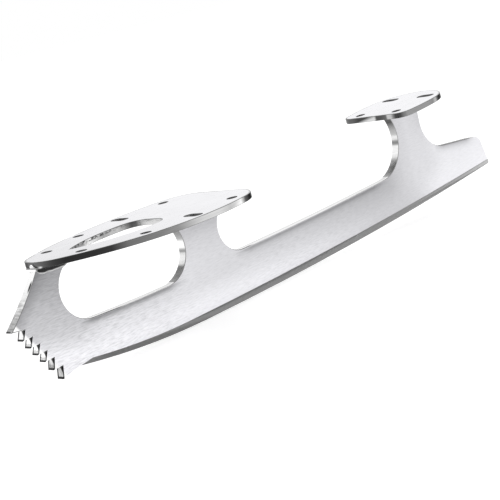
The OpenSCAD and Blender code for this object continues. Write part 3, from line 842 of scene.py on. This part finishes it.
# %% Finish of the beads
def bead_tone(tree):
    """Painted reflections across the bead from its plate to the stanchion, and a painted highlight and
    shade by height at the very front.
    """
    spread = add(tree, "ShaderNodeUVMap").outputs["UV"]
    down = add(tree, "ShaderNodeSeparateXYZ", {0: spread}).outputs["Y"]
    # Painted reflections: light at both edges of the bead, dark across its middle.
    across = tones(tree, down, [
        (0, 200), (0.06, 150), (0.16, 66), (0.45, 46), (0.84, 52), (0.89, 110), (0.93, 195),
        (1.0, 205)])
    lumps = tones(tree, grain(tree, (1.6, 1.2, 1.2), 2.0), [(0.35, 225), (0.65, 255)])
    at_front = shares(tree, place(tree, "X"), [(-61.0, 1), (-60.5, 0)])
    # Painted highlight and shade by height on the bead's front end and its lip.
    lip_light_and_shade = tones(tree, place(tree, "Z"), [
        (-2.5, 252), (-1.2, 250), (-1.0, 190), (-0.8, 125), (-0.55, 110), (-0.35, 205), (0.3, 240),
        (0.7, 215)])
    return mix(tree, at_front, times(tree, across, lumps), lip_light_and_shade)


bead_finish = steel("braze_plated", 0.18, bead_tone)

# %% A mesh that closes both ways
def closed_grid(name, points, uv):
    """A mesh of a grid of points that closes on itself both ways, with a place in UV for each."""
    rows, columns = points.shape[:2]
    number = np.arange(rows * columns).reshape(rows, columns)
    after = np.roll(number, -1, 0)
    quads = np.stack((number, after, np.roll(after, -1, 1), np.roll(number, -1, 1)), 2).reshape(-1, 4)
    mesh = bpy.data.meshes.new(name)
    mesh.from_pydata((points.reshape(-1, 3) * mm).tolist(), [], quads.tolist())
    layer = mesh.uv_layers.new(name="around_and_down")
    layer.data.foreach_set("uv", uv.reshape(-1, 2)[quads].astype(np.float32).ravel())
    form = bmesh.new()
    form.from_mesh(mesh)
    bmesh.ops.recalc_face_normals(form, faces=form.faces)
    form.to_mesh(mesh)
    form.free()
    mesh.shade_smooth()
    return mesh


# %% [markdown]
# Seen from above, the loop is a rectangle with rounded corners. On the way round it, either the
# middle of a corner moves while the heading stands still, which draws a side, or the heading turns
# while the middle stands still, which draws a corner.

# %% Loop round a stanchion
half_runner = 2.0
corner = 0.7


def loop(front, back):
    """Points on the loop round the stanchion top from x = front to x = back: the middle of the
    corner there, the heading, the way so far, and last the whole way round."""
    half_length = (back - front) / 2 - corner
    half_width = half_runner - corner
    parts = np.array([np.pi / 2 * corner, 2 * half_width, np.pi / 2 * corner, 2 * half_length] * 2)
    steps = np.array([14, 6, 14, 40] * 2)
    ends = np.concatenate(([0], parts.cumsum()))
    way = np.interp(np.arange(steps.sum()), np.concatenate(([0], steps.cumsum())), ends)
    heading = np.radians(np.interp(way, ends, [-90, 0, 0, 90, 90, 180, 180, 270, 270]))
    ahead = np.interp(way, ends, [1, 1, 1, 1, -1, -1, -1, -1, 1])
    middle_x = (front + back) / 2 + half_length * ahead
    middle_y = half_width * np.interp(way, ends, [-1, -1, 1, 1, 1, 1, -1, -1, -1])
    return middle_x, middle_y, heading, way, ends[-1]


# %% Brazed beads
sunk = 0.4
lip_y = -0.6
lip_half_width = 1.1
lip_reach = 0.45
thin_ends = ([0, 0.6, 1.4, 2.4, 3.6], [0.4, 0.6, 0.8, 0.92, 1])
plate_thickness = 2.4
sole_radius = 1250
heel_pitch = math.radians(4)
heel_x, heel_z = 144.69, 6.7


def bead(name, node, front, back, under, depth, side_reach, end_reach, climb=0.0):
    """A closed bead of the profile above, carried round the loop. under(x) is the plate's
    underside, and climb is how far the lip at the front end goes up the plate's wall. The last
    three columns of points lie inside the steel and close the bead."""
    middle_x, middle_y, heading, way, whole_way = loop(front, back)
    end = np.abs(np.cos(heading))
    lap_turn = 2 * np.pi * way / whole_way
    uneven = 1 + 0.03 * np.sin(7 * lap_turn) + 0.02 * np.sin(12 * lap_turn + 1)
    reach = (side_reach + (end_reach - side_reach) * end) * uneven
    from_end = np.minimum(middle_x - corner * end - front, back - corner * end - middle_x)
    down = depth * np.interp(from_end, *thin_ends) * (2 - uneven)
    faces_front = np.clip(-np.cos(heading), 0, 1) ** 4
    up = climb * faces_front * np.clip(1 - ((middle_y - lip_y) / lip_half_width) ** 2, 0, 1)
    reach = reach + lip_reach * up
    power = 1.9 - 1.0 * end

    s = np.linspace(0, 1, 18)
    out = reach[:, None] * (1 - s) ** power[:, None]
    drop = (down + up)[:, None] * s ** power[:, None] - up[:, None]
    inside = np.full_like(reach, -sunk)
    out = np.column_stack((out, inside, inside, reach * 0.7))
    drop = np.column_stack((drop, down, inside - up, inside - up))
    x = middle_x[:, None] + (corner + out) * np.cos(heading)[:, None]
    y = middle_y[:, None] + (corner + out) * np.sin(heading)[:, None]
    points = np.stack((x, y, under(x) - drop), 2)
    round_way = np.broadcast_to((way / whole_way)[:, None], x.shape)
    down_way = np.broadcast_to(np.concatenate((s, (1, 0, 0))), x.shape)
    mesh = closed_grid(name, points, np.stack((round_way, down_way), 2))
    mesh.materials.append(bead_finish)
    piece = shown(name, mesh, node)
    print(name, "runs", round(whole_way, 1), "mm round its stanchion")
    return piece


def under_sole(x):
    """Underside of the sole plate: an arc round a point sole_radius up, a thickness further out."""
    return sole_radius - np.sqrt((sole_radius + plate_thickness) ** 2 - x ** 2)


def under_heel(x):
    """Underside of the heel plate: a line that climbs by heel_pitch, a thickness under its top."""
    top = heel_z + (x - heel_x) * math.tan(heel_pitch)
    return top - plate_thickness / math.cos(heel_pitch)


bead("front_braze_bead", "front_braze", -61.1, -46.3, under_sole, 2.6, 2.6, 0.3, climb=1.3)
bead("middle_braze_bead", "middle_braze", 2.9, 32.8, under_sole, 2.2, 2.5, 1.6)
bead("heel_braze_bead", "heel_braze", 148.6, 171.1, under_heel, 2.2, 2.5, 1.4)
